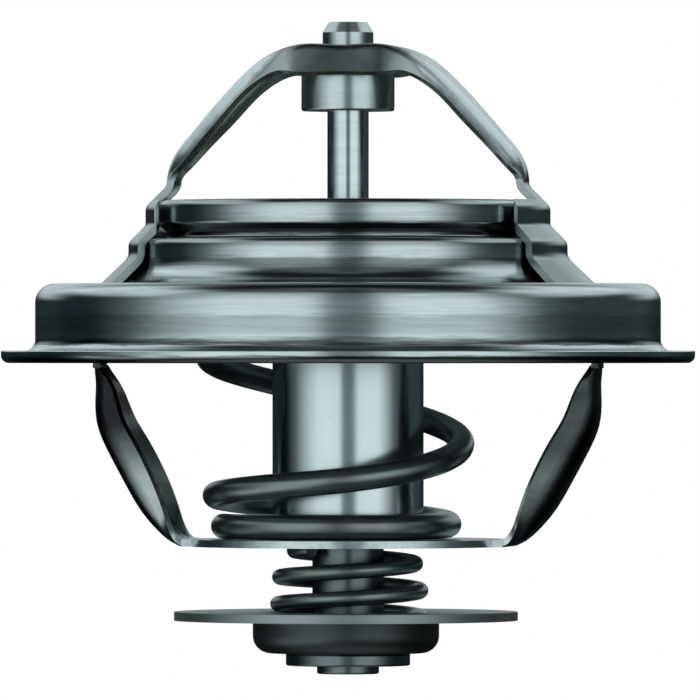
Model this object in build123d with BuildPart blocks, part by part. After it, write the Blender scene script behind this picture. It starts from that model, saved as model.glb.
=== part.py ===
"""Wax engine thermostat insert with a bypass valve.

Millimetres, +Z up along the valve axis. The origin is the centre of the flange's underside. The
two bridges run along X. The housing, both bridges, the rod and the main spring stand still. The
wax capsule and the valve disc slide down the rod as the wax melts, and the bypass disc can be
pushed up along its stem.
"""
from build123d import *
from math import cos, exp, hypot, radians, sin, sqrt
import os

# ---------------------------------------------------------------- driving dimensions
# Housing: one drawn sheet with a flange, a wide tier and two narrow ones, from the valve outwards
housing_sheet = 1.2
valve_opening_radius = 15.0
rim_width = 3.3
groove_depth = 0.8
tier2_ledge = 1.9
tier3_ledge = 10.0
flange_land = 3.3
tier3_top = 7.65
tier2_rise = 4.35
groove_rise = 0.6
tier1_lift = 1.4
rim_rise = 3.7
flange_edge = 0.15
flange_roll = 0.6
tier3_foot_radius = 0.8
tier3_edge_radius = 1.45
tier2_cove_radius = 1.9
tier2_edge_radius = 0.7
groove_bend = 0.3
tier1_edge_radius = 0.6
rim_edge_radius = 0.7

# Upper bridge: a channel strip that arches over the rod and widens into two feet
upper_sheet = 0.7
foot_gap = 0.03
foot_half_angle = 26.0
foot_shoulder_reach = 0.6
foot_rim_reach = 1.25
foot_step_reach = 1.0
foot_flank_rise = 2.55
foot_corner = 0.5
neck_setback = 0.8
neck_rise = 2.0
neck_half_width = 2.4
flare_bend = 1.0
step_bend = 0.5
foot_toe_bend = 1.2
tongue_half_width = 2.2
tongue_bottom = 2.0
slot_clearance = 0.15
weld_inset = 0.03
arch_rise = 12.95
# Each row: share of the way out to the neck, share of the way up from the neck to the top,
# slope in degrees, half-width of the crown, half-width at the edges, depth, bend radius
arch_stations = [
    (0.0, 1.0, 0, 5.3, 6.8, 2.6, 1.2),
    (0.257, 1.0, 0, 5.2, 6.7, 2.6, 1.2),
    (0.411, 0.93, -32, 4.5, 5.7, 1.9, 1.7),
    (0.566, 0.776, -43, 3.8, 4.9, 1.45, 2.2),
    (0.734, 0.54, -48, 3.1, 4.4, 1.4, 2.2),
    (0.883, 0.313, -50, 2.4, 3.5, 1.35, 2.2),
    (0.977, 0.139, -60, 1.8, 2.8, 1.1, 2.2),
    (1.0, 0.031, -84, 1.3, 2.4, 0.5, 2.2),
    (1.0, -0.031, -90, 1.2, 2.35, 0.2, 2.2),
]

# Lower bridge: two leaf-shaped channel legs and the ring that carries the main spring
lower_sheet = 0.7
ring_drop = 0.5
ring_rim = 3.2
ring_clearance = 0.3
lug_reach = 0.3
lug_half_width = 4.4
leg_setback = 5.6
leg_top = 6.2
leg_tab_bottom = -0.5
leg_tab_half_width = 2.2
# Each row: share of the way out from the ring's edge, share of the way down to the ring,
# slope in degrees, half-width of the crown, half-width at the edges, depth, bend radius
leg_stations = [
    (1.0, 0.011, -90, 1.3, 2.2, 0.2, 2.2),
    (1.0, 0.1, -90, 1.6, 2.6, 1.5, 2.2),
    (1.0, 0.205, -92, 1.9, 3.3, 2.3, 2.2),
    (0.974, 0.335, -102, 2.3, 4.0, 2.75, 2.4),
    (0.844, 0.494, -114, 2.7, 4.5, 2.95, 2.4),
    (0.677, 0.653, -122, 3.0, 4.7, 2.9, 2.4),
    (0.484, 0.818, -128, 3.1, 4.7, 2.45, 2.4),
    (0.297, 0.926, -142, 3.1, 4.5, 1.5, 2.2),
    (0.146, 0.983, -157, 3.0, 4.4, 0.5, 2.2),
    (0.0, 1.0, -180, 2.9, 4.2, 0.1, 2.2),
]

# Rod and its holder
rod_diameter = 4.0
rod_tip = -8.4
rod_tip_chamfer = 0.4
collar_diameter = 9.0
collar_depth = 6.35
collar_edge = 0.25
pin_diameter = 4.9
pin_rise = 2.25
pin_chamfer_height = 1.0
pin_chamfer_width = 0.6
rod_socket_depth = 4.3
pin_hole_clearance = 0.05
running_clearance = 0.05

# Wax capsule
cup_diameter = 14.6
cup_wall = 0.8
cup_floor = 1.0
cup_bottom = -17.2
cup_bottom_edge = 1.0
shoulder_width = 0.9
crimp_height = 2.4
crimp_lip = 0.5
crimp_lip_width = 1.6
crimp_edge = 0.3
sleeve_flange = 0.5
sleeve_radius = 4.3
sleeve_tip_wall = 1.1
chafe_washer_radius = 3.4
chafe_washer_thickness = 0.4
guide_neck_radius = 4.6
guide_rise = 1.9
guide_edge = 0.4
seal_radius = 3.3
seal_depth = 1.5

# Main valve disc and its rubber edge
disc_sheet = 1.0
disc_overlap = 0.5
disc_hub_width = 1.2
disc_step_width = 0.7
disc_step_height = 2.8
disc_bend = 1.2
disc_fit = 0.05
seal_overhang = 0.5
seal_width = 1.9
seal_height = 0.65
seal_skirt = 0.9
seal_seat_gap = 0.05

# Main spring: the pitch is slack at the foot and steepest at the middle
main_wire = 2.45
main_foot_clearance = 2.35
main_head_inset = 1.6
main_foot_pitch = 5.9
main_pitch_turn = 0.83
main_pitch = 18.0
main_head_turn = 1.35
main_head_pitch = 14.0
main_closed_turns = 0.5
main_ease = 0.12
main_growth = 0.37
main_start_angle = 8.0
main_spring_shift = -1.15
spring_gap = 0.03

# Bypass valve
stem_diameter = 6.9
bypass_radius = 16.6
bypass_sheet = 0.85
bypass_drop = 6.8
bypass_dish_radius = 9.0
bypass_dish_depth = 3.15
bypass_dish_edge = 1.7
bypass_shoulder_bend = 0.3
bypass_play = 0.4
bypass_shift = -0.2
washer_diameter = 12.0
washer_thickness = 1.2
washer_edge = 0.2
spigot_diameter = 5.4
rivet_head_diameter = 6.0
rivet_head_height = 0.8
rivet_edge = 0.2
bypass_wire = 1.5
bypass_foot_inset = 0.45
bypass_head_outer = 5.95
bypass_pitch = 2.6
bypass_closed_turns = 0.1
bypass_ease = 0.1
bypass_growth = 0.15
bypass_start_angle = 116.0
bypass_spring_shift = 0.15

coil_points_per_turn = 12
pick_tolerance = 0.01

# ---------------------------------------------------------------- derived dimensions
tier1_radius = valve_opening_radius + rim_width
groove_radius = tier1_radius - groove_depth
tier2_radius = tier1_radius + tier2_ledge
tier3_radius = tier2_radius + tier3_ledge
flange_radius = tier3_radius + flange_land
tier2_top = tier3_top + tier2_rise
groove_height = tier2_top + groove_rise
tier1_bottom = tier2_top + tier1_lift
rim_top = tier2_top + rim_rise
seat_underside = rim_top - housing_sheet

leg_radius = tier3_radius - leg_setback
tongue_outer_radius = leg_radius - lower_sheet
tongue_inner_radius = tongue_outer_radius - upper_sheet
neck_radius = tier1_radius - neck_setback
neck_top = rim_top + neck_rise
arch_top = neck_top + arch_rise
foot_rim_radius = tier1_radius + foot_rim_reach
foot_step_radius = tier2_radius + foot_step_reach
foot_shoulder_radius = tier1_radius + foot_shoulder_reach
foot_bottom = tier3_top + foot_gap
sheet_stack = foot_gap + upper_sheet
edge_setback = 2 - sqrt(2)
rim_flare = tier1_radius + rim_top - edge_setback * rim_edge_radius + sqrt(2) * sheet_stack
step_flare = tier2_radius + tier2_top - edge_setback * tier2_edge_radius + sqrt(2) * sheet_stack

rod_radius = rod_diameter / 2
pin_radius = pin_diameter / 2
collar_radius = collar_diameter / 2
collar_bottom = arch_top - collar_depth
collar_top = arch_top - upper_sheet + weld_inset
pin_top = arch_top + pin_rise
bore_radius = rod_radius + running_clearance

disc_radius = valve_opening_radius + disc_overlap
disc_top = seat_underside - seal_seat_gap - seal_height
disc_underside = disc_top - disc_sheet
disc_hub_underside = disc_underside - disc_step_height
seal_top = disc_top + seal_height
seal_edge_radius = disc_radius + seal_overhang
seal_inner_radius = seal_edge_radius - seal_width

cup_radius = cup_diameter / 2
cup_inner_radius = cup_radius - cup_wall
cavity_floor = cup_bottom + cup_floor
shoulder_height = disc_hub_underside + disc_sheet
crimp_radius = cup_radius + shoulder_width
crimp_top = shoulder_height + crimp_height
crimp_lip_radius = crimp_radius - crimp_lip_width
recess_floor = shoulder_height + cup_wall
recess_radius = crimp_radius - cup_wall
sleeve_tip = rod_tip - sleeve_tip_wall
guide_flange_bottom = recess_floor + sleeve_flange
guide_flange_top = crimp_top - crimp_lip
guide_top = crimp_top + guide_rise
chafe_washer_top = guide_flange_bottom + chafe_washer_thickness
seal_bottom = guide_top - seal_depth
disc_step_inner = crimp_radius + disc_hub_width
disc_step_outer = disc_step_inner + disc_step_width

main_foot_outer = cup_radius + main_foot_clearance + main_wire
main_head_outer = disc_radius - main_head_inset
ring_bottom = cup_bottom - ring_drop
ring_top = ring_bottom + lower_sheet
ring_radius = main_foot_outer + ring_rim
lug_length = ring_radius + lug_reach

stem_radius = stem_diameter / 2
bypass_top = cup_bottom - bypass_drop
dish_bottom = bypass_top - bypass_sheet - bypass_dish_depth
dish_floor = dish_bottom + bypass_sheet
dish_inner_radius = bypass_dish_radius - bypass_sheet
washer_bottom = dish_bottom - washer_thickness
bypass_foot_outer = dish_inner_radius - bypass_foot_inset

os.makedirs("parts", exist_ok=True)


def save(piece, label):
    """Name a finished piece and write its STEP file."""
    piece.part.label = label
    export_step(piece.part, f"parts/{label}.step")


def parallel_outline(points, bends, distance):
    """Corner points and bend radii of a bent line's parallel, to the right of its direction."""
    normals = []
    for start, end in zip(points, points[1:]):
        run = (end[0] - start[0], end[1] - start[1])
        length = hypot(*run)
        normals.append((run[1] / length, -run[0] / length))
    moved = [tuple(p + distance * n for p, n in zip(points[0], normals[0]))]
    new_bends = []
    for corner, bend, before, after in zip(points[1:], bends, normals, normals[1:]):
        scale = distance / (1 + before[0] * after[0] + before[1] * after[1])
        moved.append((corner[0] + scale * (before[0] + after[0]),
                      corner[1] + scale * (before[1] + after[1])))
        turns_left = before[0] * after[1] - before[1] * after[0] > 0
        new_bends.append(bend + distance if turns_left else max(bend - distance, 0))
    moved.append(tuple(p + distance * n for p, n in zip(points[-1], normals[-1])))
    return moved, new_bends


def sheet_section(points, bends, thickness):
    """Radial section of a bent sheet. The sheet lies to the right of its outline."""
    back_points, back_bends = parallel_outline(points, bends, thickness)
    with BuildSketch(Plane.XZ) as section:
        with BuildLine():
            front = FilletPolyline(*points, radius=bends)
            back = FilletPolyline(*back_points, radius=back_bends)
            Line(front @ 0, back @ 0)
            Line(front @ 1, back @ 1)
        make_face()
    return section.sketch


def channel(stations, sheet, inset):
    """Pressed channel strip that follows its stations, with its open side towards the inside.

    It lies `inset` inside the sheet's two faces, so that its ends sink into the flat ones.
    """
    with BuildPart() as strip:
        for x, z, slope, crown, edge, depth, bend in stations:
            along = Vector(cos(radians(slope)), 0, sin(radians(slope)))
            outward = Vector(-along.Z, 0, along.X)
            corner = Vector(x, 0, z) - outward * inset
            front = [(-edge, -depth), (-crown, 0), (crown, 0), (edge, -depth)]
            back, back_bends = parallel_outline(front, [bend, bend], sheet - 2 * inset)
            with BuildSketch(Plane(origin=corner, x_dir=(0, 1, 0), z_dir=along)):
                with BuildLine():
                    outside = FilletPolyline(*front, radius=bend)
                    inside = FilletPolyline(*back, radius=back_bends)
                    Line(outside @ 0, inside @ 0)
                    Line(outside @ 1, inside @ 1)
                make_face()
        loft()
    return strip


def turned(points):
    """Solid of revolution about Z of a closed outline of (radius, height) points."""
    with BuildPart() as piece:
        with BuildSketch(Plane.XZ):
            with BuildLine():
                Polyline(*points, close=True)
            make_face()
        revolve(axis=Axis.Z)
    return piece


def coil_path(foot, head, pitches, closed, ease, radius_share, start_angle, shift):
    """Centre line of a right-handed spring from its foot to its head, each (radius, height).

    The coil lies flat for `closed` turns at both ends. `pitches` gives (turn, pitch from there
    on), and each change is eased over `ease` turns to either side.
    """
    changes = [(turn, pitch - before) for (turn, pitch), before in zip(
        pitches, [0, *[pitch for _, pitch in pitches]])]
    last_pitch = pitches[-1][1]
    lag = sum(turn * change for turn, change in changes)
    free = (head[1] - foot[1] + lag) / last_pitch
    changes.append((free, -last_pitch))

    def ramp(turns):
        if abs(turns) < ease:
            return (turns + ease) ** 2 / (4 * ease)
        return max(turns, 0)

    steps = round((free + 2 * closed) * coil_points_per_turn)
    points = []
    for step in range(steps + 1):
        turn = (free + 2 * closed) * step / steps - closed
        height = foot[1] + sum(change * ramp(turn - start) for start, change in changes)
        radius = foot[0] + (head[0] - foot[0]) * radius_share(min(max(turn, 0), free) / free)
        angle = radians(start_angle + 360 * turn)
        points.append((shift + radius * cos(angle), radius * sin(angle), height))
    return Spline(*points)


def wire_spring(path, wire):
    """Round wire swept along a spring's centre line."""
    with BuildPart() as spring:
        with BuildSketch(Plane(origin=path @ 0, z_dir=path % 0)):
            Circle(wire / 2)
        sweep(path=path)
    return spring


# ---------------------------------------------------------------- housing
housing_points = [
    (valve_opening_radius, rim_top),
    (tier1_radius, rim_top),
    (tier1_radius, tier1_bottom),
    (groove_radius, groove_height),
    (groove_radius, tier2_top),
    (tier2_radius, tier2_top),
    (tier2_radius, tier3_top),
    (tier3_radius, tier3_top),
    (tier3_radius, housing_sheet),
    (flange_radius, housing_sheet),
]
housing_bends = [
    rim_edge_radius, tier1_edge_radius, groove_bend, groove_bend, tier2_edge_radius,
    tier2_cove_radius, tier3_edge_radius, tier3_foot_radius,
]
with BuildPart() as flange_housing:
    with BuildSketch(Plane.XZ):
        add(sheet_section(housing_points, housing_bends, housing_sheet))
    revolve(axis=Axis.Z)
    flange_rims = flange_housing.edges().filter_by(GeomType.CIRCLE).filter_by(
        lambda edge: abs(edge.radius - flange_radius) < pick_tolerance)
    fillet(flange_rims.group_by(Axis.Z)[0], flange_roll)
    flange_rims = flange_housing.edges().filter_by(GeomType.CIRCLE).filter_by(
        lambda edge: abs(edge.radius - flange_radius) < pick_tolerance)
    fillet(flange_rims.group_by(Axis.Z)[-1], flange_edge)
    slot_width = 2 * (tongue_half_width + slot_clearance)
    with BuildSketch(Plane.XY.offset(tier3_top - 2 * housing_sheet)):
        Rectangle(2 * (tongue_outer_radius + slot_clearance), slot_width)
        Circle(tongue_inner_radius - slot_clearance, mode=Mode.SUBTRACT)
    extrude(amount=3 * housing_sheet, mode=Mode.SUBTRACT)
save(flange_housing, "flange_housing")

# ---------------------------------------------------------------- upper bridge
foot_points = [
    (neck_radius, neck_top),
    (neck_radius, rim_flare - neck_radius),
    (foot_rim_radius, rim_flare - foot_rim_radius),
    (foot_rim_radius, step_flare - foot_rim_radius),
    (foot_step_radius, step_flare - foot_step_radius),
    (foot_step_radius, tier3_top + foot_flank_rise),
    (tongue_outer_radius + upper_sheet, tier3_top - upper_sheet),
]
foot_bends = [flare_bend, flare_bend, step_bend, flare_bend, foot_toe_bend]
foot_reach = 2 * leg_radius
foot_rise = foot_reach * sin(radians(foot_half_angle)) / cos(radians(foot_half_angle))
with BuildSketch() as foot_wedges:
    with BuildLine():
        Polyline((0, 0), (foot_reach, foot_rise), (foot_reach, -foot_rise), close=True)
    make_face()
    mirror(about=Plane.YZ)
with BuildSketch() as foot_plan:
    Circle(leg_radius)
    Circle(foot_shoulder_radius, mode=Mode.SUBTRACT)
    add(foot_wedges.sketch, mode=Mode.INTERSECT)
    fillet(foot_plan.vertices().filter_by(
        lambda corner: hypot(corner.X, corner.Y) < foot_shoulder_radius + pick_tolerance), foot_corner)
    Rectangle(2 * leg_radius, 2 * neck_half_width)

arch_right = [(out * neck_radius, neck_top + up * arch_rise, slope, *size)
              for out, up, slope, *size in arch_stations]
arch_left = [(-x, z, -slope, *size) for x, z, slope, *size in reversed(arch_right[1:])]
arch = channel(arch_left + arch_right, upper_sheet, weld_inset)
with BuildPart() as upper_bridge:
    with BuildSketch(Plane.XZ):
        add(sheet_section(foot_points, foot_bends, upper_sheet))
    revolve(axis=Axis.Z)
    with BuildSketch(Plane.XY.offset(foot_bottom)):
        add(foot_plan.sketch)
    extrude(amount=arch_top, mode=Mode.INTERSECT)
    with BuildSketch(Plane.XY.offset(tongue_bottom)):
        Rectangle(2 * tongue_outer_radius, 2 * tongue_half_width)
        Rectangle(2 * tongue_inner_radius, 2 * tongue_half_width, mode=Mode.SUBTRACT)
    extrude(amount=foot_bottom + foot_gap - tongue_bottom)
    add(arch.part)
    with BuildSketch(Plane.XY.offset(collar_top)):
        Circle(pin_radius + pin_hole_clearance)
    extrude(amount=2 * upper_sheet, mode=Mode.SUBTRACT)
save(upper_bridge, "upper_bridge")

# ---------------------------------------------------------------- lower bridge
leg_path = [(ring_radius + out * (leg_radius - ring_radius), down * ring_bottom, slope, *size)
            for out, down, slope, *size in leg_stations]
leg = channel(leg_path, lower_sheet, weld_inset)
with BuildPart() as lower_bridge:
    with BuildSketch(Plane.XY.offset(ring_bottom)):
        Circle(ring_radius)
        Rectangle(2 * lug_length, 2 * lug_half_width)
        Circle(cup_radius + ring_clearance, mode=Mode.SUBTRACT)
    extrude(amount=lower_sheet)
    add(leg.part)
    with BuildSketch(Plane.XY.offset(leg_tab_bottom)):
        with Locations((leg_radius - lower_sheet / 2, 0)):
            Rectangle(lower_sheet, 2 * leg_tab_half_width)
    extrude(amount=leg_top - leg_tab_bottom)
    mirror(about=Plane.YZ)
save(lower_bridge, "lower_bridge")

# ---------------------------------------------------------------- rod and holder
with BuildPart() as piston_rod:
    with BuildSketch(Plane.XY.offset(rod_tip)):
        Circle(rod_radius)
    extrude(amount=collar_bottom + rod_socket_depth - rod_tip)
    chamfer(piston_rod.edges().group_by(Axis.Z)[0], rod_tip_chamfer)
save(piston_rod, "piston_rod")

with BuildPart() as rod_holder:
    with BuildSketch(Plane.XY.offset(collar_bottom)):
        Circle(collar_radius)
    extrude(amount=collar_top - collar_bottom)
    fillet(rod_holder.edges().group_by(Axis.Z)[0], collar_edge)
    with BuildSketch(Plane.XY.offset(collar_top)):
        Circle(pin_radius)
    extrude(amount=pin_top - collar_top)
    chamfer(rod_holder.edges().group_by(Axis.Z)[-1], pin_chamfer_height, pin_chamfer_width)
    with BuildSketch(Plane.XY.offset(collar_bottom)):
        Circle(rod_radius)
    extrude(amount=rod_socket_depth, mode=Mode.SUBTRACT)
save(rod_holder, "rod_holder")

# ---------------------------------------------------------------- wax capsule
with BuildPart() as wax_cup:
    with BuildSketch(Plane.XZ):
        with BuildLine():
            Polyline((0, cup_bottom), (cup_radius, cup_bottom), (cup_radius, shoulder_height),
                     (crimp_radius, shoulder_height), (crimp_radius, crimp_top),
                     (crimp_lip_radius, crimp_top), (crimp_lip_radius, guide_flange_top),
                     (recess_radius, guide_flange_top), (recess_radius, recess_floor),
                     (cup_inner_radius, recess_floor), (cup_inner_radius, cavity_floor),
                     (0, cavity_floor), close=True)
        make_face()
    revolve(axis=Axis.Z)
    rims = wax_cup.edges().filter_by(GeomType.CIRCLE)
    fillet(rims.group_by(Axis.Z)[0], cup_bottom_edge)
    fillet(rims.filter_by(lambda edge: abs(edge.radius - crimp_radius) < pick_tolerance), crimp_edge)
save(wax_cup, "wax_cup")

save(turned([(0, sleeve_tip), (sleeve_radius, sleeve_tip), (sleeve_radius, recess_floor),
             (recess_radius, recess_floor), (recess_radius, guide_flange_bottom),
             (bore_radius, guide_flange_bottom), (bore_radius, rod_tip), (0, rod_tip)]),
     "rubber_sleeve")

save(turned([(0, cavity_floor), (cup_inner_radius, cavity_floor),
             (cup_inner_radius, recess_floor), (sleeve_radius, recess_floor),
             (sleeve_radius, sleeve_tip), (0, sleeve_tip)]),
     "wax_charge")

save(turned([(bore_radius, guide_flange_bottom), (chafe_washer_radius, guide_flange_bottom),
             (chafe_washer_radius, chafe_washer_top), (bore_radius, chafe_washer_top)]),
     "chafe_washer")

with BuildPart() as guide_bush:
    with BuildSketch(Plane.XZ):
        with BuildLine():
            Polyline((chafe_washer_radius, guide_flange_bottom),
                     (recess_radius, guide_flange_bottom), (recess_radius, guide_flange_top),
                     (guide_neck_radius, guide_flange_top), (guide_neck_radius, guide_top),
                     (seal_radius, guide_top), (seal_radius, seal_bottom),
                     (bore_radius, seal_bottom), (bore_radius, chafe_washer_top),
                     (chafe_washer_radius, chafe_washer_top), close=True)
        make_face()
    revolve(axis=Axis.Z)
    fillet(guide_bush.edges().filter_by(GeomType.CIRCLE).filter_by(
        lambda edge: abs(edge.radius - guide_neck_radius) < pick_tolerance).group_by(Axis.Z)[-1],
        guide_edge)
save(guide_bush, "guide_bush")

save(turned([(bore_radius, seal_bottom), (seal_radius, seal_bottom),
             (seal_radius, guide_top), (bore_radius, guide_top)]),
     "rod_seal")

# ---------------------------------------------------------------- main valve
disc_points = [
    (disc_radius, disc_underside),
    (disc_step_outer, disc_underside),
    (disc_step_inner, disc_hub_underside),
    (cup_radius + disc_fit, disc_hub_underside),
]
with BuildPart() as main_valve_disc:
    with BuildSketch(Plane.XZ):
        add(sheet_section(disc_points, [disc_bend - disc_sheet, disc_bend], disc_sheet))
    revolve(axis=Axis.Z)
save(main_valve_disc, "main_valve_disc")

save(turned([(seal_inner_radius, disc_top), (disc_radius, disc_top),
             (disc_radius, disc_top - seal_skirt), (seal_edge_radius, disc_top - seal_skirt),
             (seal_edge_radius, seal_top), (seal_inner_radius, seal_top)]),
     "valve_seal")

# ---------------------------------------------------------------- bypass valve
with BuildPart() as bypass_stem:
    with BuildSketch(Plane.XY.offset(dish_bottom)):
        Circle(stem_radius)
    extrude(amount=cup_bottom - dish_bottom)
    with BuildSketch(Plane.XY.offset(dish_bottom)):
        Circle(spigot_diameter / 2)
    extrude(amount=washer_bottom - dish_bottom)
    with BuildSketch(Plane.XY.offset(washer_bottom)):
        Circle(rivet_head_diameter / 2)
    extrude(amount=-rivet_head_height)
    fillet(bypass_stem.edges().group_by(Axis.Z)[0], rivet_edge)
save(bypass_stem, "bypass_stem")

with BuildPart() as retaining_washer:
    with BuildSketch(Plane.XY.offset(washer_bottom)):
        Circle(washer_diameter / 2)
        Circle(spigot_diameter / 2, mode=Mode.SUBTRACT)
    extrude(amount=washer_thickness)
    fillet(retaining_washer.edges().filter_by(GeomType.CIRCLE).filter_by(
        lambda edge: abs(edge.radius - washer_diameter / 2) < pick_tolerance), washer_edge)
save(retaining_washer, "retaining_washer")

bypass_points = [
    (stem_radius + bypass_play, dish_floor),
    (dish_inner_radius, dish_floor),
    (dish_inner_radius, bypass_top),
    (bypass_radius, bypass_top),
]
bypass_bends = [bypass_dish_edge - bypass_sheet, bypass_shoulder_bend + bypass_sheet]
with BuildPart() as bypass_disc:
    with BuildSketch(Plane.XZ):
        add(sheet_section(bypass_points, bypass_bends, bypass_sheet))
    revolve(axis=Axis.Z)
bypass_disc.part.position = (bypass_shift, 0, 0)
save(bypass_disc, "bypass_disc")

# ---------------------------------------------------------------- springs
half_wire = main_wire / 2
main_path = coil_path(
    (main_foot_outer - half_wire, ring_top + half_wire + spring_gap),
    (main_head_outer - half_wire, disc_underside - half_wire - spring_gap),
    [(0, main_foot_pitch), (main_pitch_turn, main_pitch), (main_head_turn, main_head_pitch)],
    main_closed_turns, main_ease, lambda share: 1 - exp(-share / main_growth),
    main_start_angle, main_spring_shift)
main_spring = wire_spring(main_path, main_wire)
save(main_spring, "main_spring")

half_wire = bypass_wire / 2
bypass_path = coil_path(
    (bypass_foot_outer - half_wire, dish_floor + half_wire + spring_gap),
    (bypass_head_outer - half_wire, cup_bottom - half_wire - spring_gap),
    [(0, bypass_pitch)], bypass_closed_turns, bypass_ease,
    lambda share: exp((share - 1) / bypass_growth), bypass_start_angle, bypass_spring_shift)
bypass_spring = wire_spring(bypass_path, bypass_wire)
save(bypass_spring, "bypass_spring")
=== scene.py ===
"""Looks of the engine thermostat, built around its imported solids."""
from math import acos, cos, exp, pi, radians, sin, tan

import bpy
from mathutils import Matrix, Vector


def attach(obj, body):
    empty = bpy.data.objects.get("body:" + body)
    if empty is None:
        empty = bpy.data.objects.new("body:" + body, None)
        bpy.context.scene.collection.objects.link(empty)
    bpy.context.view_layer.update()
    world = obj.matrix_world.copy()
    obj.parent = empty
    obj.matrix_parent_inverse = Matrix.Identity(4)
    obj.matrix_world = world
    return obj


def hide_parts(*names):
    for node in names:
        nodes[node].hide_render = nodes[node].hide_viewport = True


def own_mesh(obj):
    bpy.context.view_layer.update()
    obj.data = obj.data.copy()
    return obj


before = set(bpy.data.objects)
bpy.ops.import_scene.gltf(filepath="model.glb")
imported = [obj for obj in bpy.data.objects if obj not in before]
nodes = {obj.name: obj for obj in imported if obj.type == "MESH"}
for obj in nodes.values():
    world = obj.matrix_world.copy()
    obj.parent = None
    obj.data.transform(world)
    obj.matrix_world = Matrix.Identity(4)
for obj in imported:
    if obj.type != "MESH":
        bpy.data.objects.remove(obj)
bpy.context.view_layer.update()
MM = 0.001

CAMERA_AZIMUTH = radians(8.0)
CAMERA_DISTANCE = 1.2
CAMERA_HEIGHT = 1.255 * MM
CAMERA_OFFSET = 0.193 * MM  # to the camera's right
VIEW_WIDTH = 67.57 * MM  # what the camera sees across at the part's axis
SENSOR_WIDTH = 36
NEAREST, FARTHEST = 0.01, 20

FLOOR_HEIGHT = -38.5 * MM
FLOOR_RADIUS = 0.25
FLOOR_SIDES = 96
SHADE_REACH = 35 * MM
SHADE_SAMPLES = 16
SHADE_TONES = [(0.2, 0.45), (0.9, 1.0)]  # (share of the sky that is clear, brightness)

# scales of the surface noises, per metre, and the range that most of a noise's values are in
BRUSH_SCALE = 150
CLOUD_SCALE = 160
SPECK_SCALE = 1400
GRAIN_SCALE = 700
NOISE_LOW, NOISE_HIGH = 0.3, 0.7

GLOSS_SPREAD = 0.06
SPECK_LEVEL = 0.68  # noise above this is a speck
SPECK_STRENGTH = 0.25
SPECK_TONE = 0.75
BAND_WAVER = 0.06  # how far the bands wander, as a share of their ramp
METAL_DEPTH = 0.05 * MM
GRAIN_TONE = 0.85
GRAIN_GLOSS, GRAIN_GLOSS_START = 0.15, -0.07
GRAIN_BUMP = 0.2
GRAIN_DEPTH = 0.02 * MM

BEND_STEPS = 8
NEARLY_STRAIGHT = 1.5  # half a corner's angle in radians, above which it is left as it is
RING_SEGMENTS = 256
WIRE_SIDES = 20
WIRE_STEPS = 72  # rings of a wire's mesh in one turn of its coil
TURN_STEP = 0.002  # turns ahead and back that give the wire's direction
SHARP_ANGLE = radians(35)


# ---------------------------------------------------------------- node helpers
class Tree:
    """Short calls for building a node tree."""

    def __init__(self, owner):
        owner.use_nodes = True
        self.tree = owner.node_tree
        self.tree.nodes.clear()

    def node(self, kind, **settings):
        made = self.tree.nodes.new(kind)
        for name, value in settings.items():
            setattr(made, name, value)
        return made

    def join(self, source, target):
        self.tree.links.new(source, target)

    def feed(self, socket, value):
        if isinstance(value, bpy.types.NodeSocket):
            self.join(value, socket)
        else:
            socket.default_value = value

    def math(self, operation, *values):
        made = self.node("ShaderNodeMath", operation=operation)
        for socket, value in zip(made.inputs, values):
            self.feed(socket, value)
        return made.outputs[0]

    def ramp(self, factor, stops, interpolation="LINEAR"):
        made = self.node("ShaderNodeValToRGB")
        ramp = made.color_ramp
        ramp.interpolation = interpolation
        while len(ramp.elements) > 1:
            ramp.elements.remove(ramp.elements[-1])
        ramp.elements[0].position = stops[0][0]
        ramp.elements[0].color = tone(stops[0][1])
        for position, colour in stops[1:]:
            ramp.elements.new(position).color = tone(colour)
        self.join(factor, made.inputs["Fac"])
        return made.outputs["Color"]

    def mix(self, factor, a, b, blend="MIX"):
        made = self.node("ShaderNodeMix", data_type="RGBA", blend_type=blend)
        self.feed(made.inputs["Factor"], factor)
        self.feed(made.inputs["A"], a)
        self.feed(made.inputs["B"], b)
        return made.outputs["Result"]

    def choose(self, factor, first, second):
        """The first shader where the factor is 0, and the second where it is 1."""
        made = self.node("ShaderNodeMixShader")
        for socket, source in zip(made.inputs, (factor, first, second)):
            self.join(source, socket)
        return made.outputs[0]

    def noise(self, vector, scale, detail, roughness):
        made = self.node("ShaderNodeTexNoise")
        self.join(vector, made.inputs["Vector"])
        made.inputs["Scale"].default_value = scale
        made.inputs["Detail"].default_value = detail
        made.inputs["Roughness"].default_value = roughness
        return made.outputs["Fac"]

    def stretched(self, vector, scale):
        made = self.node("ShaderNodeMapping")
        self.join(vector, made.inputs["Vector"])
        made.inputs["Scale"].default_value = scale
        return made.outputs[0]


def tone(value):
    """A grey or a colour as RGBA."""
    if isinstance(value, (int, float)):
        return (value, value, value, 1)
    return (*value, 1)


def darker(colour, share):
    return tuple(c * share for c in colour)


# ---------------------------------------------------------------- materials
def surface(name):
    """A new material, its tree, its shader and the coordinates of the object."""
    material = bpy.data.materials.new(name)
    t = Tree(material)
    out = t.node("ShaderNodeOutputMaterial")
    shader = t.node("ShaderNodeBsdfPrincipled")
    t.join(shader.outputs[0], out.inputs[0])
    return material, t, shader, t.node("ShaderNodeTexCoord").outputs["Object"]


def raise_grain(t, shader, grain, strength, depth):
    bump = t.node("ShaderNodeBump")
    bump.inputs["Strength"].default_value = strength
    bump.inputs["Distance"].default_value = depth
    t.join(grain, bump.inputs["Height"])
    t.join(bump.outputs[0], shader.inputs["Normal"])


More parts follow.
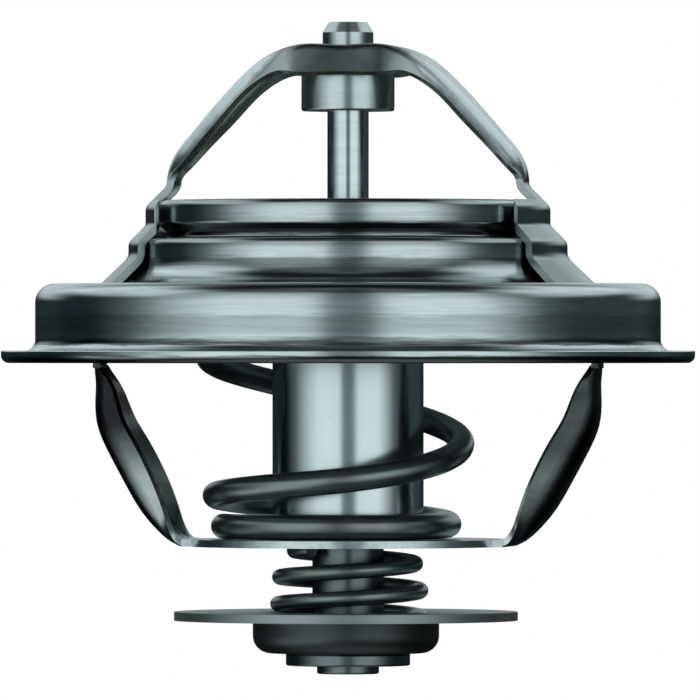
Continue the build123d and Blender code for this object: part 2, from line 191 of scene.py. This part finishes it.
def banded(t, shade, place, lines, layers):
    """The colour darkened along each layer's direction: painted shade on the housing and strips,
    and the bypass disc's own darker dish. The bands' edges waver with the lines.
    """
    split = t.node("ShaderNodeSeparateXYZ")
    t.join(place, split.inputs[0])
    outward = t.math("ABSOLUTE", split.outputs["X"])
    waver = t.math("MULTIPLY_ADD", lines, BAND_WAVER, -BAND_WAVER / 2)
    for (out_share, up_share), stops in layers:
        low, high = stops[0][0], stops[-1][0]
        reach = high - low
        along = t.math("MULTIPLY", outward, out_share)
        along = t.math("MULTIPLY_ADD", split.outputs["Z"], up_share, along)
        along = t.math("MULTIPLY_ADD", along, 1 / (reach * MM), -low / reach)
        tint = t.ramp(t.math("ADD", along, waver),
                      [((at - low) / reach, share) for at, share in stops])
        shade = t.mix(1.0, shade, tint, "MULTIPLY")
    return shade


def metal(name, colour, roughness, brush=(1, 1, 1), bump=0.05, grime=0.0, streak=0.12,
          bands=None, aslant_painted_shade=None):
    """Satin metal with brushed lines, soft uneven gloss, faint grime, specks and darker bands.

    The darker bands are painted shade on the housing and strips, and the bypass disc's own
    two-tone finish. `bands` gives (height in millimetres, share of the colour that is left).
    The aslant ones give a direction (out, up) and the same along it, for painted shade that runs
    aslant on a strip."""
    material, t, shader, place = surface(name)
    lines = t.noise(t.stretched(place, brush), BRUSH_SCALE, 4.0, 0.65)
    clouds = t.noise(place, CLOUD_SCALE, 4.0, 0.6)
    specks = t.noise(place, SPECK_SCALE, 2.0, 0.7)
    rough = t.math("MULTIPLY_ADD", lines, GLOSS_SPREAD, roughness - GLOSS_SPREAD / 2)
    rough = t.math("MULTIPLY_ADD", clouds, GLOSS_SPREAD, rough)
    t.join(rough, shader.inputs["Roughness"])
    shade = t.ramp(clouds, [(NOISE_LOW, darker(colour, 1 - grime)), (NOISE_HIGH, colour)])
    streaks = t.ramp(lines, [(NOISE_LOW, 1 - streak), (NOISE_HIGH, 1.0)])
    shade = t.mix(1.0, shade, streaks, "MULTIPLY")
    speck = t.math("MULTIPLY", t.math("GREATER_THAN", specks, SPECK_LEVEL), SPECK_STRENGTH)
    shade = t.mix(speck, shade, tone(darker(colour, SPECK_TONE)))
    layers = []
    if bands:
        layers.append(((0, 1), bands))
    # painted shade that runs aslant across a strip
    if aslant_painted_shade:
        layers.append(aslant_painted_shade)
    if layers:
        shade = banded(t, shade, place, lines, layers)
    t.join(shade, shader.inputs["Base Color"])
    shader.inputs["Metallic"].default_value = 1.0
    raise_grain(t, shader, lines, bump, METAL_DEPTH)
    return material


def plain(name, colour, roughness):
    """Rubber, plastic or wax with a fine uneven surface."""
    material, t, shader, place = surface(name)
    grain = t.noise(place, GRAIN_SCALE, 3.0, 0.6)
    shade = t.ramp(grain, [(NOISE_LOW, darker(colour, GRAIN_TONE)), (NOISE_HIGH, colour)])
    t.join(shade, shader.inputs["Base Color"])
    rough = t.math("MULTIPLY_ADD", grain, GRAIN_GLOSS, roughness + GRAIN_GLOSS_START)
    t.join(rough, shader.inputs["Roughness"])
    raise_grain(t, shader, grain, GRAIN_BUMP, GRAIN_DEPTH)
    return material


steel = (0.72, 0.79, 0.80)
# The housing's rings by height are painted shade and reflection: darker rings where the dark
# studio reflects in the sheet, darkest at the flange's rim, its root and the groove.
housing_metal = metal(
    "drawn_housing_steel", steel, 0.17, brush=(1, 1, 20), streak=0.25,
    bands=[
        # flange, its root and the wide tier
        (0.0, 0.3), (0.6, 0.3), (0.75, 1.0), (1.65, 1.0), (1.8, 0.15), (2.0, 0.2), (2.2, 0.5),
        (2.6, 1.0), (3.0, 0.75), (4.4, 0.7), (4.7, 1.0), (5.9, 1.0), (6.4, 0.7), (7.0, 1.0),
        # second tier
        (8.9, 1.0), (9.4, 0.35), (9.9, 0.4), (10.3, 1.0), (11.0, 1.0), (11.3, 0.6),
        # groove and top tier
        (12.2, 0.6), (12.4, 0.1), (13.3, 0.15), (13.5, 0.8), (14.6, 1.0), (15.4, 0.6),
        (15.7, 1.0)])
# The strip's aslant stripes are painted shade: its head and the inner half of each arm are
# darkened, and the rounded crown of the arms is left light.
strip_metal = metal(
    "arched_strip_steel", steel, 0.22, brush=(8, 1, 8),
    aslant_painted_shade=((0.72, 0.69), [(19.0, 0.45), (21.5, 0.45), (22.5, 0.6), (24.6, 0.6), (24.9, 0.4),
                         (25.4, 1.0), (27.0, 1.0)]))
# The lower bridge's stripes are painted shade: its legs darken towards the top, and an aslant
# stripe darkens each leg's outer side, so a painted light streak runs down the leg. The main valve
# disc shares this material.
bridge_metal = metal(
    "pressed_strip_steel", steel, 0.22, brush=(8, 1, 8), streak=0.3,
    bands=[(-17.7, 1.0), (-15.0, 1.0), (-11.0, 0.9), (-8.5, 0.35), (-6.0, 0.15), (-0.5, 0.15),
           (12.0, 0.6)],
    aslant_painted_shade=((0.87, -0.49), [(19.0, 1.0), (22.6, 1.0), (23.6, 0.2), (26.0, 0.2)]))
rod_metal = metal("ground_rod_steel", steel, 0.12, brush=(1, 1, 10))
turned_metal = metal("turned_steel", (0.62, 0.68, 0.69), 0.2, brush=(1, 1, 10))
stem_metal = metal("dark_turned_steel", (0.20, 0.23, 0.24), 0.25, brush=(1, 1, 10))
cup_metal = metal("drawn_cup_metal", steel, 0.16, brush=(8, 8, 1), streak=0.06, bump=0.02)
wire_metal = metal("spring_wire_steel", (0.33, 0.37, 0.38), 0.3, brush=(2, 2, 6), grime=0.3)
dish_metal = metal(
    "bypass_disc_steel", (0.38, 0.42, 0.43), 0.4, brush=(1, 1, 8),
    bands=[(-28.0, 0.3), (-24.95, 0.3), (-24.8, 1.0), (-23.9, 1.0)])
brass = metal("turned_brass", (0.50, 0.46, 0.36), 0.3, brush=(1, 1, 10))
rubber = plain("black_rubber", (0.03, 0.03, 0.033), 0.55)
ptfe = plain("white_sheet_plastic", (0.85, 0.85, 0.82), 0.5)
wax = plain("filled_wax", (0.45, 0.30, 0.17), 0.6)

finishes = {
    "flange_housing": housing_metal, "upper_bridge": strip_metal, "lower_bridge": bridge_metal,
    "rod_holder": turned_metal, "piston_rod": rod_metal, "main_spring": wire_metal,
    "wax_cup": cup_metal, "wax_charge": wax, "rubber_sleeve": rubber, "guide_bush": brass,
    "rod_seal": rubber, "chafe_washer": ptfe, "main_valve_disc": bridge_metal,
    "valve_seal": rubber, "bypass_stem": stem_metal, "retaining_washer": stem_metal,
    "bypass_disc": dish_metal, "bypass_spring": wire_metal,
}
for name, material in finishes.items():
    mesh = nodes[name].data
    mesh.materials.clear()
    mesh.materials.append(material)


# ---------------------------------------------------------------- fine forms
def rounded(points, bends):
    """Outline of (radius, height) points with its inner corners rounded to the bend radii."""
    line = [Vector(points[0])]
    for before, corner, after, bend in zip(points, points[1:], points[2:], bends):
        corner = Vector(corner)
        a = (Vector(before) - corner).normalized()
        b = (Vector(after) - corner).normalized()
        half = acos(max(-1, min(1, a.dot(b)))) / 2
        if bend <= 0 or half > NEARLY_STRAIGHT:
            line.append(corner)
            continue
        middle = corner + (a + b).normalized() * bend / sin(half)
        start = corner + a * bend / tan(half) - middle
        end = corner + b * bend / tan(half) - middle
        for step in range(BEND_STEPS + 1):
            share = step / BEND_STEPS
            line.append(middle + (start * (1 - share) + end * share).normalized() * bend)
    line.append(Vector(points[-1]))
    return line


def parallel(points, bends, distance):
    """Parallel of a bent line, to the right of its direction, and its bend radii."""
    normals = []
    for start, end in zip(points, points[1:]):
        run = Vector(end) - Vector(start)
        normals.append(Vector((run.y, -run.x)).normalized())
    moved = [Vector(points[0]) + normals[0] * distance]
    new_bends = []
    for corner, bend, before, after in zip(points[1:], bends, normals, normals[1:]):
        moved.append(Vector(corner) + (before + after) * distance / (1 + before.dot(after)))
        turns_left = before.x * after.y - before.y * after.x > 0
        new_bends.append(bend + distance if turns_left else max(bend - distance, 0))
    moved.append(Vector(points[-1]) + normals[-1] * distance)
    return moved, new_bends


def add_mesh(name, verts, faces, body, node, material):
    """A mesh in millimetres that stands for a CAD node and moves with its body."""
    mesh = bpy.data.meshes.new(name)
    mesh.from_pydata([tuple(c * MM for c in v) for v in verts], [], faces)
    mesh.validate()
    mesh.shade_smooth()
    mesh.set_sharp_from_angle(angle=SHARP_ANGLE)
    mesh.materials.append(material)
    piece = bpy.data.objects.new(name, mesh)
    bpy.context.scene.collection.objects.link(piece)
    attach(piece, body)
    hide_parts(node)
    return piece


def lathe(name, outline, body, node, material):
    """Ring turned from a closed outline of (radius, height) points."""
    verts, faces, count = [], [], len(outline)
    for turn in range(RING_SEGMENTS):
        angle = 2 * pi * turn / RING_SEGMENTS
        verts += [(r * cos(angle), r * sin(angle), z) for r, z in outline]
        here, there = turn * count, (turn + 1) % RING_SEGMENTS * count
        for i in range(count):
            j = (i + 1) % count
            faces.append((here + i, there + i, there + j, here + j))
    return add_mesh(name, verts, faces, body, node, material)


def coil(name, spring, body, node, material):
    """Round wire wound as the CAD spring is, flattening towards its floor with its joint.

    A spring has its wire's diameter, the (radius, height) of its foot and head, the turns that
    are closed at each end, its (turn, pitch) pairs, the turns over which a pitch eases in, the
    angle it starts at, its shift to the right, and how its radius goes from foot to head."""
    changes, before = [], 0
    for turn, pitch in spring["pitches"]:
        changes.append((turn, pitch - before))
        before = pitch
    foot, head, ease = spring["foot"], spring["head"], spring["ease"]
    free = (head[1] - foot[1] + sum(turn * change for turn, change in changes)) / before
    changes.append((free, -before))
    closed = spring["closed"]

    def climb(turns):
        """Turns climbed since a change of pitch, with a soft start."""
        if abs(turns) < ease:
            return (turns + ease) ** 2 / (4 * ease)
        return max(turns, 0)

    def centre(turn):
        share = spring["share"](min(max(turn, 0), free) / free)
        radius = foot[0] + (head[0] - foot[0]) * share
        angle = radians(spring["start"] + 360 * turn)
        height = foot[1] + sum(change * climb(turn - start) for start, change in changes)
        return Vector((spring["shift"] + radius * cos(angle), radius * sin(angle), height))

    steps = round((free + 2 * closed) * WIRE_STEPS)
    verts, faces = [], []
    for step in range(steps + 1):
        turn = (free + 2 * closed) * step / steps - closed
        along = (centre(turn + TURN_STEP) - centre(turn - TURN_STEP)).normalized()
        middle = centre(turn)
        out = Vector((middle.x - spring["shift"], middle.y, 0))
        out = (out - along * out.dot(along)).normalized()
        up_side = along.cross(out)
        for side in range(WIRE_SIDES):
            angle = 2 * pi * side / WIRE_SIDES
            verts.append(middle + (out * cos(angle) + up_side * sin(angle)) * spring["wire"] / 2)
        if step:
            here, back = step * WIRE_SIDES, (step - 1) * WIRE_SIDES
            for i in range(WIRE_SIDES):
                j = (i + 1) % WIRE_SIDES
                faces.append((back + i, back + j, here + j, here + i))
    faces.append(tuple(reversed(range(WIRE_SIDES))))
    faces.append(tuple(range(steps * WIRE_SIDES, (steps + 1) * WIRE_SIDES)))
    piece = add_mesh(name, verts, faces, body, node, material)
    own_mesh(piece)
    return piece


# the housing's outer face from the valve opening to the flange's rim, then the sheet behind it
housing_sheet = 1.2
housing_face = [(15.0, 15.7), (18.3, 15.7), (18.3, 13.4), (17.5, 12.6), (17.5, 12.0), (20.2, 12.0),
                (20.2, 7.65), (30.2, 7.65), (30.2, 1.2), (33.5, 1.2)]
housing_bends = [0.7, 0.6, 0.3, 0.3, 0.7, 2.8, 1.8, 1.0]
rim_bends = [0.15, 0.75]
housing_back, back_bends = parallel(housing_face, housing_bends, housing_sheet)
outline = rounded(housing_face + housing_back[::-1],
                  housing_bends + rim_bends + back_bends[::-1])
lathe("flange_housing_sheet", outline, "housing", "flange_housing", housing_metal)

main_wire = {
    "wire": 2.45, "foot": (10.875, -15.745), "head": (12.675, 11.545), "closed": 0.5,
    "pitches": [(0, 5.9), (0.83, 18.0), (1.35, 14.0)], "ease": 0.12, "start": 8,
    "shift": -1.15, "share": lambda share: 1 - exp(-share / 0.37),
}
coil("main_spring_wire", main_wire, "housing", "main_spring", wire_metal)
bypass_wire = {
    "wire": 1.5, "foot": (6.95, -26.37), "head": (5.2, -17.98), "closed": 0.1,
    "pitches": [(0, 2.6)], "ease": 0.1, "start": 116, "shift": 0.15,
    "share": lambda share: exp((share - 1) / 0.15),
}
coil("bypass_spring_wire", bypass_wire, "capsule", "bypass_spring", wire_metal)


# ---------------------------------------------------------------- studio
# A ramp runs from 0 to 1, so these give the place of an angle on one.
def at(degrees):
    """Place on the azimuth ramp, 0 towards the camera and positive to its right."""
    return degrees / 360 + 0.5


def up(degrees):
    """Place on the elevation ramp, 0 level with the part."""
    return degrees / 180 + 0.5


world = bpy.data.worlds.new("studio")
bpy.context.scene.world = world
w = Tree(world)
out = w.node("ShaderNodeOutputWorld")
direction = w.node("ShaderNodeTexCoord").outputs["Generated"]
turn = w.node("ShaderNodeVectorRotate", rotation_type="Z_AXIS")
w.join(direction, turn.inputs["Vector"])
turn.inputs["Angle"].default_value = -CAMERA_AZIMUTH
parts = w.node("ShaderNodeSeparateXYZ")
w.join(turn.outputs[0], parts.inputs[0])
side = w.math("ARCTAN2", parts.outputs["X"], w.math("MULTIPLY", parts.outputs["Y"], -1.0))
side = w.math("MULTIPLY_ADD", side, 0.5 / pi, 0.5)
height = w.math("ARCSINE", parts.outputs["Z"])
height = w.math("MULTIPLY_ADD", height, 1 / pi, 0.5)

DARK = (0.009, 0.017, 0.021)
FAINT = (0.035, 0.048, 0.052)
DIM = (0.10, 0.125, 0.13)
GREY = (0.15, 0.19, 0.2)
HALF = (0.46, 0.53, 0.54)
LIGHT = (0.84, 0.95, 0.96)
WALL = (0.62, 0.70, 0.71)
# Each panel has its colours round the part and its brightness from straight down to straight up.
panels = [
    # soft lights on both sides of the camera, with a dark gap between them
    ([(-180, DARK), (-104, DARK), (-86, DIM), (-68, HALF), (-46, LIGHT), (-12, LIGHT),
      (-8, GREY), (8, GREY), (15, LIGHT), (48, LIGHT), (60, HALF), (74, DIM), (90, FAINT),
      (135, FAINT), (155, DARK), (180, DARK)],
     [(-90, 0.03), (-40, 0.05), (-20, 0.2), (-8, 0.95), (0, 1.0), (40, 1.0), (58, 0.12),
      (90, 0.12)]),
    # the pale wall behind the part
    ([(-180, WALL), (-150, WALL), (-128, 0), (128, 0), (150, WALL), (180, WALL)],
     [(-90, 0), (3, 0), (9, 1.0), (22, 0.9), (38, 0.35), (65, 0.0), (90, 0)]),
    # soft lights high on both sides
    ([(-180, 0), (-155, 0), (-140, LIGHT), (-85, LIGHT), (-70, 0), (70, 0), (85, LIGHT),
      (140, LIGHT), (155, 0), (180, 0)],
     [(-90, 0), (18, 0), (28, 0.8), (50, 0.8), (62, 0.0), (90, 0)]),
    # a faint light from below
    ([(-180, LIGHT), (180, LIGHT)],
     [(-90, 0.35), (-66, 0.3), (-48, 0.0), (90, 0)]),
    # a low white card on the left
    ([(-180, 0), (-112, 0), (-96, LIGHT), (-30, LIGHT), (-18, 0), (180, 0)],
     [(-90, 0), (-45, 0), (-36, 0.8), (-20, 0.8), (-8, 0), (90, 0)]),
]
lit = None
for across, tall in panels:
    row = w.ramp(side, [(at(place), colour) for place, colour in across])
    level = w.ramp(height, [(up(place), value) for place, value in tall])
    panel = w.mix(1.0, row, level, "MULTIPLY")
    lit = w.mix(1.0, lit, panel, "ADD") if lit else panel
studio = w.node("ShaderNodeBackground")
w.join(lit, studio.inputs["Color"])
white = w.node("ShaderNodeBackground")
white.inputs["Color"].default_value = (1, 1, 1, 1)
seen = w.node("ShaderNodeLightPath").outputs["Is Camera Ray"]
w.join(w.choose(seen, studio.outputs[0], white.outputs[0]), out.inputs["Surface"])

# ---------------------------------------------------------------- floor
# A white floor just below the valve's lowest reach. It glows white with the part's soft shade
# painted in by ambient occlusion, it is clear from below, and the metal sees the studio through
# it.
bpy.ops.mesh.primitive_circle_add(vertices=FLOOR_SIDES, radius=FLOOR_RADIUS, fill_type="NGON",
                                  location=(0, 0, FLOOR_HEIGHT))
floor = bpy.context.object
floor.name = "floor"
paper = bpy.data.materials.new("white_floor")
floor.data.materials.append(paper)
f = Tree(paper)
out = f.node("ShaderNodeOutputMaterial")
glow = f.node("ShaderNodeEmission")
# painted shadow: the floor's glow darkened by ambient occlusion under the part
floor_shadow = f.node("ShaderNodeAmbientOcclusion", samples=SHADE_SAMPLES)
floor_shadow.inputs["Distance"].default_value = SHADE_REACH
f.join(f.ramp(floor_shadow.outputs["AO"], SHADE_TONES, "EASE"), glow.inputs["Color"])
above = f.math("SUBTRACT", 1.0, f.node("ShaderNodeNewGeometry").outputs["Backfacing"])
seen = f.math("MULTIPLY", above, f.node("ShaderNodeLightPath").outputs["Is Camera Ray"])
clear = f.node("ShaderNodeBsdfTransparent").outputs[0]
f.join(f.choose(seen, clear, glow.outputs[0]), out.inputs["Surface"])

# ---------------------------------------------------------------- camera
camera = bpy.data.objects.new("camera", bpy.data.cameras.new("camera"))
bpy.context.scene.collection.objects.link(camera)
bpy.context.scene.camera = camera
right = Vector((cos(CAMERA_AZIMUTH), sin(CAMERA_AZIMUTH), 0))
back = Vector((sin(CAMERA_AZIMUTH), -cos(CAMERA_AZIMUTH), 0))
camera.location = back * CAMERA_DISTANCE + right * CAMERA_OFFSET + Vector((0, 0, CAMERA_HEIGHT))
camera.rotation_euler = (pi / 2, 0, CAMERA_AZIMUTH)
camera.data.sensor_width = SENSOR_WIDTH
camera.data.lens = SENSOR_WIDTH * CAMERA_DISTANCE / VIEW_WIDTH
camera.data.clip_start = NEAREST
camera.data.clip_end = FARTHEST

bpy.context.scene.view_settings.view_transform = "Standard"
